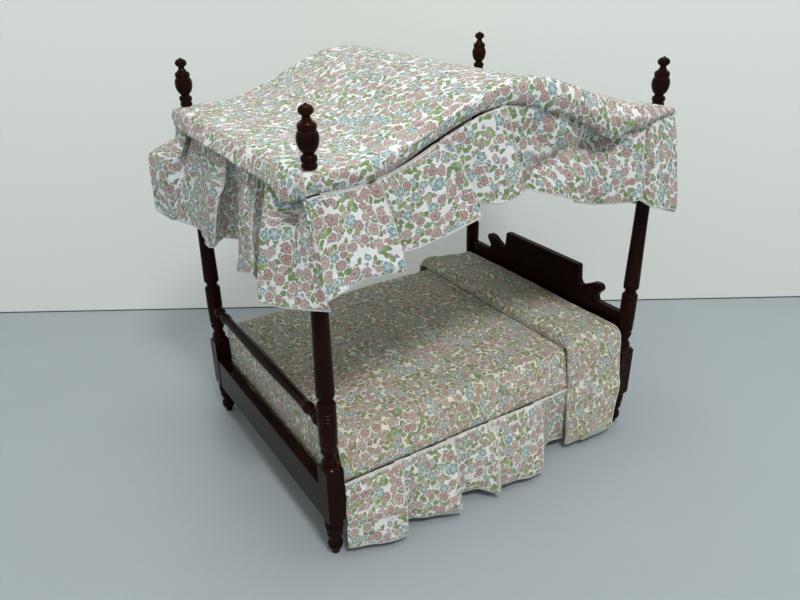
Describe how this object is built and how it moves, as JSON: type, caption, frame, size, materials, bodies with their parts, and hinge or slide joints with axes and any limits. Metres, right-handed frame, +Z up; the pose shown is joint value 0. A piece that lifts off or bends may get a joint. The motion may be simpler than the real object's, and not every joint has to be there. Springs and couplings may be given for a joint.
{
  "type": "four poster canopy bed",
  "caption": "Miniature four poster bed with turned posts, serpentine cloth canopy, pleated valance, scroll-cut headboard, blanket rail and dressed mattress.",
  "frame": {"origin": "middle of the floor under the bed, level with the bottom of the feet", "axes": "+Z up, +Y towards the head end, +X towards the bed's right side seen from the foot"},
  "size_m": [0.1534, 0.2004, 0.1905],
  "materials": {
    "mahogany": "gloss lacquer over a dark red stain",
    "basswood": "bare sanded wood",
    "steel": "plain drawn wire",
    "print_cloth": "plain-weave cotton with a small floral print",
    "ticking": "plain cotton over soft filling"
  },
  "bodies": {
    "bedstead": {"post_foot_right": "mahogany", "post_foot_left": "mahogany", "post_head_right": "mahogany", "post_head_left": "mahogany", "pin_foot_right": "steel", "pin_foot_left": "steel", "pin_head_right": "steel", "pin_head_left": "steel", "foot_rail": "mahogany", "head_rail": "mahogany", "side_rail_right": "mahogany", "side_rail_left": "mahogany", "headboard": "mahogany", "blanket_rail": "mahogany", "ledger_right": "basswood", "ledger_left": "basswood", "slat_1": "basswood", "slat_2": "basswood", "slat_3": "basswood", "slat_4": "basswood", "slat_5": "basswood", "slat_6": "basswood", "slat_7": "basswood"},
    "canopy": {"tester_side_right": "mahogany", "tester_side_left": "mahogany", "tester_end_foot": "mahogany", "tester_end_head": "mahogany", "lath_1": "basswood", "lath_2": "basswood", "lath_3": "basswood", "lath_4": "basswood", "lath_5": "basswood", "canopy_cover": "print_cloth", "valance_right": "print_cloth", "valance_left": "print_cloth", "valance_foot": "print_cloth", "valance_head": "print_cloth"},
    "cap_foot_right": {"finial_foot_right": "mahogany"},
    "cap_foot_left": {"finial_foot_left": "mahogany"},
    "cap_head_right": {"finial_head_right": "mahogany"},
    "cap_head_left": {"finial_head_left": "mahogany"},
    "bedding": {"mattress": "ticking", "bedspread": "print_cloth", "pillow": "ticking", "pillow_cover": "print_cloth", "skirt_right": "print_cloth", "skirt_left": "print_cloth"}
  },
  "joints": [
    {"name": "canopy_lift", "type": "slide", "parent": "bedstead", "child": "canopy", "axis": [0, 0, 1], "range_m": [0, 0.03]},
    {"name": "finial_foot_right_pull", "type": "slide", "parent": "canopy", "child": "cap_foot_right", "axis": [0, 0, 1], "range_m": [0, 0.012]},
    {"name": "finial_foot_left_pull", "type": "slide", "parent": "canopy", "child": "cap_foot_left", "axis": [0, 0, 1], "range_m": [0, 0.012]},
    {"name": "finial_head_right_pull", "type": "slide", "parent": "canopy", "child": "cap_head_right", "axis": [0, 0, 1], "range_m": [0, 0.012]},
    {"name": "finial_head_left_pull", "type": "slide", "parent": "canopy", "child": "cap_head_left", "axis": [0, 0, 1], "range_m": [0, 0.012]},
    {"name": "bedding_lift", "type": "slide", "parent": "bedstead", "child": "bedding", "axis": [0, 0, 1], "range_m": [0, 0.03]}
  ]
}
